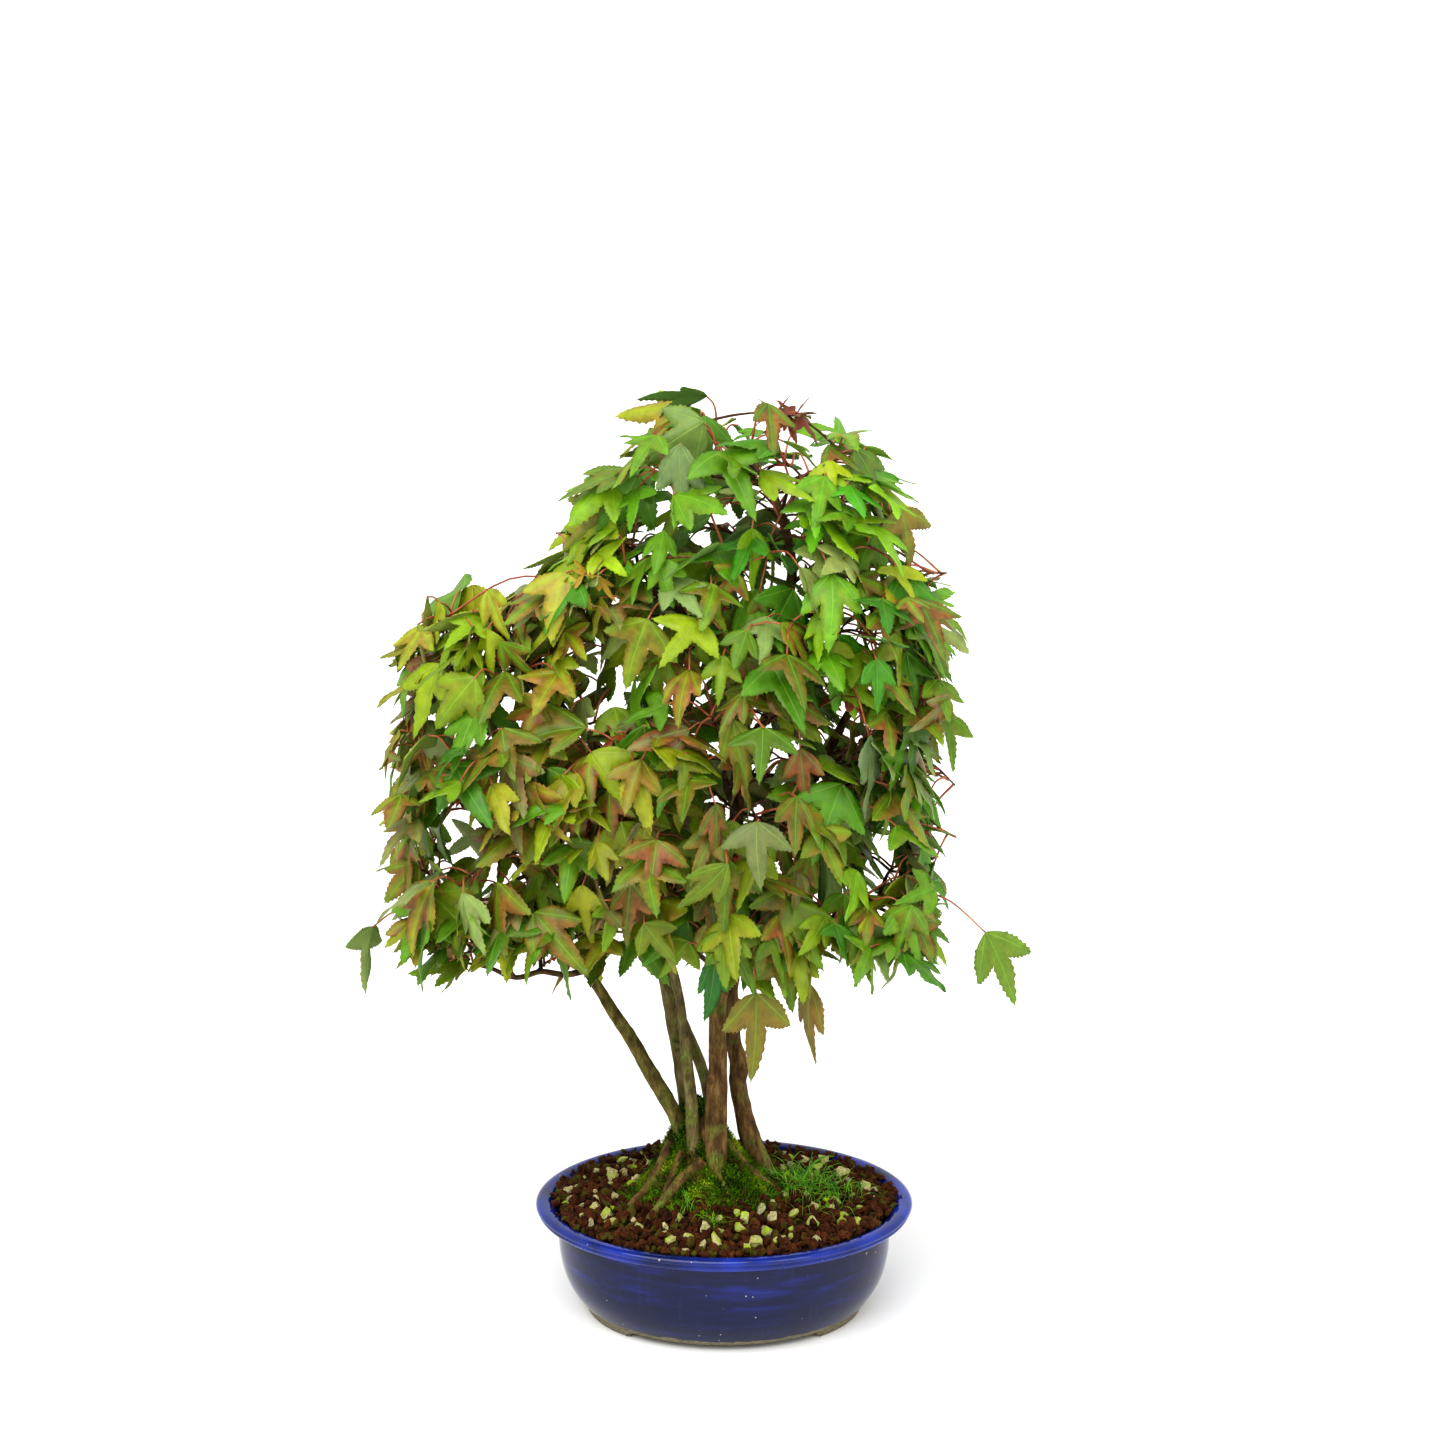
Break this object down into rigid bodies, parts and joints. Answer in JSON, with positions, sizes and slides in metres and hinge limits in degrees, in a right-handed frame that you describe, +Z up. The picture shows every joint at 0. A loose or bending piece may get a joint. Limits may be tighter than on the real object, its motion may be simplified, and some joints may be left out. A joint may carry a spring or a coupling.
{
  "type": "potted bonsai tree",
  "caption": "Trident maple bonsai in full leaf: slender stems rise from one mossy base in a round-shouldered oval pot with a blue glaze, clay feet and a soil surface of fired-clay grains.",
  "frame": {"origin": "on the surface the pot stands on, under the middle of the whole tree's bounding box", "axes": "+Z up the stems; -Y is the front of the tree, which the viewer faces; +X to the viewer's right, along the pot's long side"},
  "size_m": [0.413, 0.2958, 0.5811],
  "materials": {
    "pot_glaze": "glossy cobalt-blue stoneware glaze with paler streaks, bare clay feet",
    "screen_plastic": "moulded mesh, satin",
    "wire": "brown anodised wire",
    "soil": "damp fired-clay grains with pale pumice",
    "moss": "short cushion moss",
    "grass": "smooth grass blades",
    "bark": "flaking grey-brown bark, mossy at the foot",
    "leaf": "satin leaves in greens, with some bronze young growth"
  },
  "bodies": {
    "root": {"oval_pot": "pot_glaze", "drain_screen_left": "screen_plastic", "screen_wire_left": "wire", "drain_screen_right": "screen_plastic", "screen_wire_right": "wire", "stem_front": "bark", "stem_right": "bark", "stem_knotted": "bark", "stem_left": "bark", "stem_rear": "bark", "stem_leaning": "bark", "branch_low_left": "bark", "branch_low_front": "bark", "branch_low_right": "bark", "branch_mid_right": "bark", "branch_mid_front": "bark", "branch_upper_left": "bark", "branch_upper_right": "bark", "branch_left_front": "bark", "branch_left_rear": "bark", "branch_rear_right": "bark", "root_base": "bark", "soil_bed": "soil", "moss_mound": "moss", "grass_tuft": "grass", "leaf_spray_01": "leaf", "leaf_spray_02": "leaf", "leaf_spray_03": "leaf", "leaf_spray_04": "leaf", "leaf_spray_05": "leaf", "leaf_spray_06": "leaf", "leaf_spray_07": "leaf", "leaf_spray_08": "leaf", "leaf_spray_09": "leaf", "leaf_spray_10": "leaf", "leaf_spray_11": "leaf", "leaf_spray_12": "leaf", "leaf_spray_13": "leaf", "leaf_spray_14": "leaf", "leaf_spray_15": "leaf", "leaf_spray_16": "leaf", "leaf_spray_17": "leaf", "leaf_spray_18": "leaf", "leaf_spray_19": "leaf", "leaf_spray_20": "leaf", "leaf_spray_21": "leaf", "leaf_spray_22": "leaf", "leaf_spray_23": "leaf", "leaf_spray_24": "leaf", "leaf_spray_25": "leaf", "leaf_spray_26": "leaf", "leaf_spray_27": "leaf", "leaf_spray_28": "leaf", "leaf_spray_29": "leaf", "leaf_spray_30": "leaf", "leaf_spray_31": "leaf", "leaf_spray_32": "leaf", "leaf_spray_33": "leaf", "leaf_spray_34": "leaf"}
  },
  "joints": []
}
